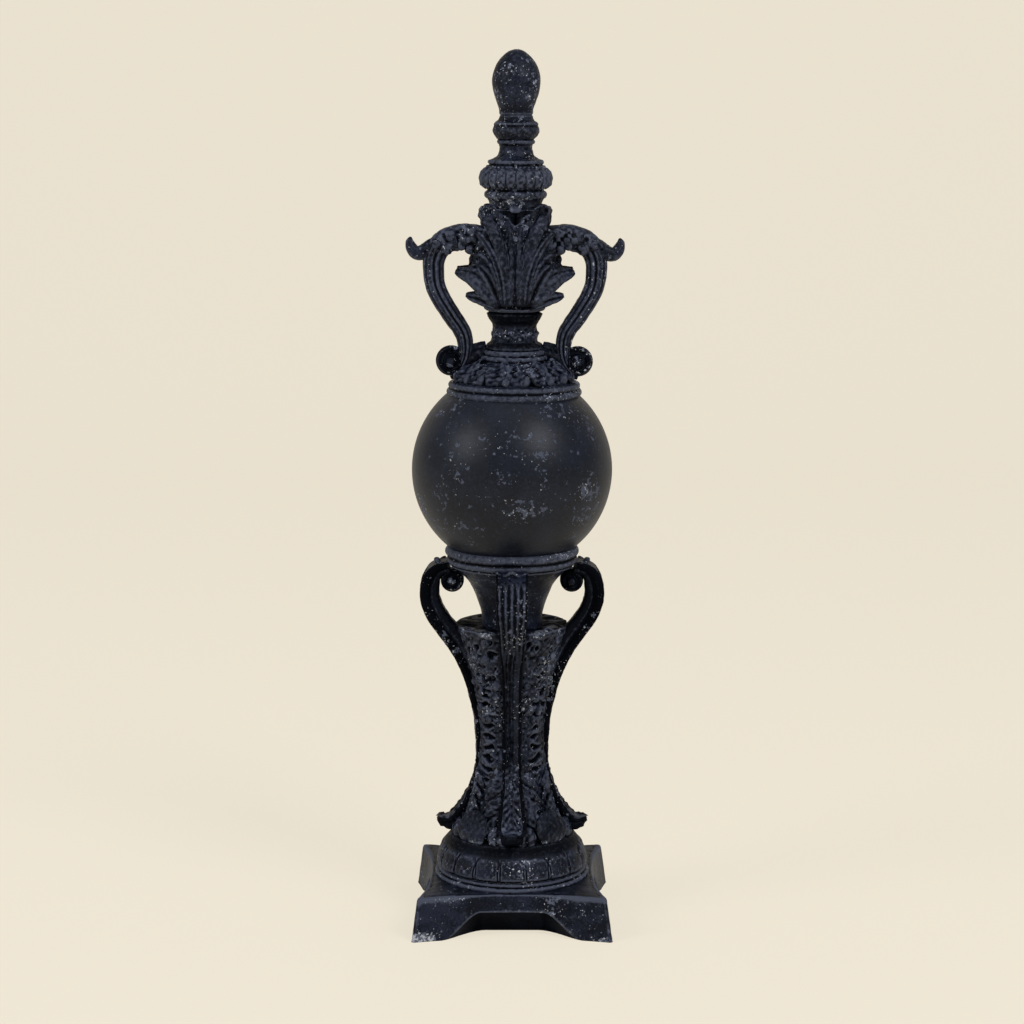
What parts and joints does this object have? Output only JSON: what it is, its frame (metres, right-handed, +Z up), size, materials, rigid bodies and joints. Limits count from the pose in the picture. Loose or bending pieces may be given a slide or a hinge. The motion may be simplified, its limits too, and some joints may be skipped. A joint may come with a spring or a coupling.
{
  "type": "ball finial",
  "caption": "Tall table-top finial: a footed square plinth, a leafed shaft with scroll brackets, a ball, and a crown with two scroll handles, a gadrooned knob and a bud.",
  "frame": {"origin": "centre of the plinth's underside, on the surface it stands on", "axes": "+Z up through the ball to the bud, +X towards the right handle, -Y towards the front"},
  "size_m": [0.1238, 0.1146, 0.4997],
  "materials": {
    "casting": "blue-black painted resin, rubbed and chipped to grey and white",
    "ball": "blue-black painted resin, smooth, with grey chips"
  },
  "bodies": {
    "root": {"pedestal": "casting", "ball": "ball", "crown": "casting"}
  },
  "joints": []
}
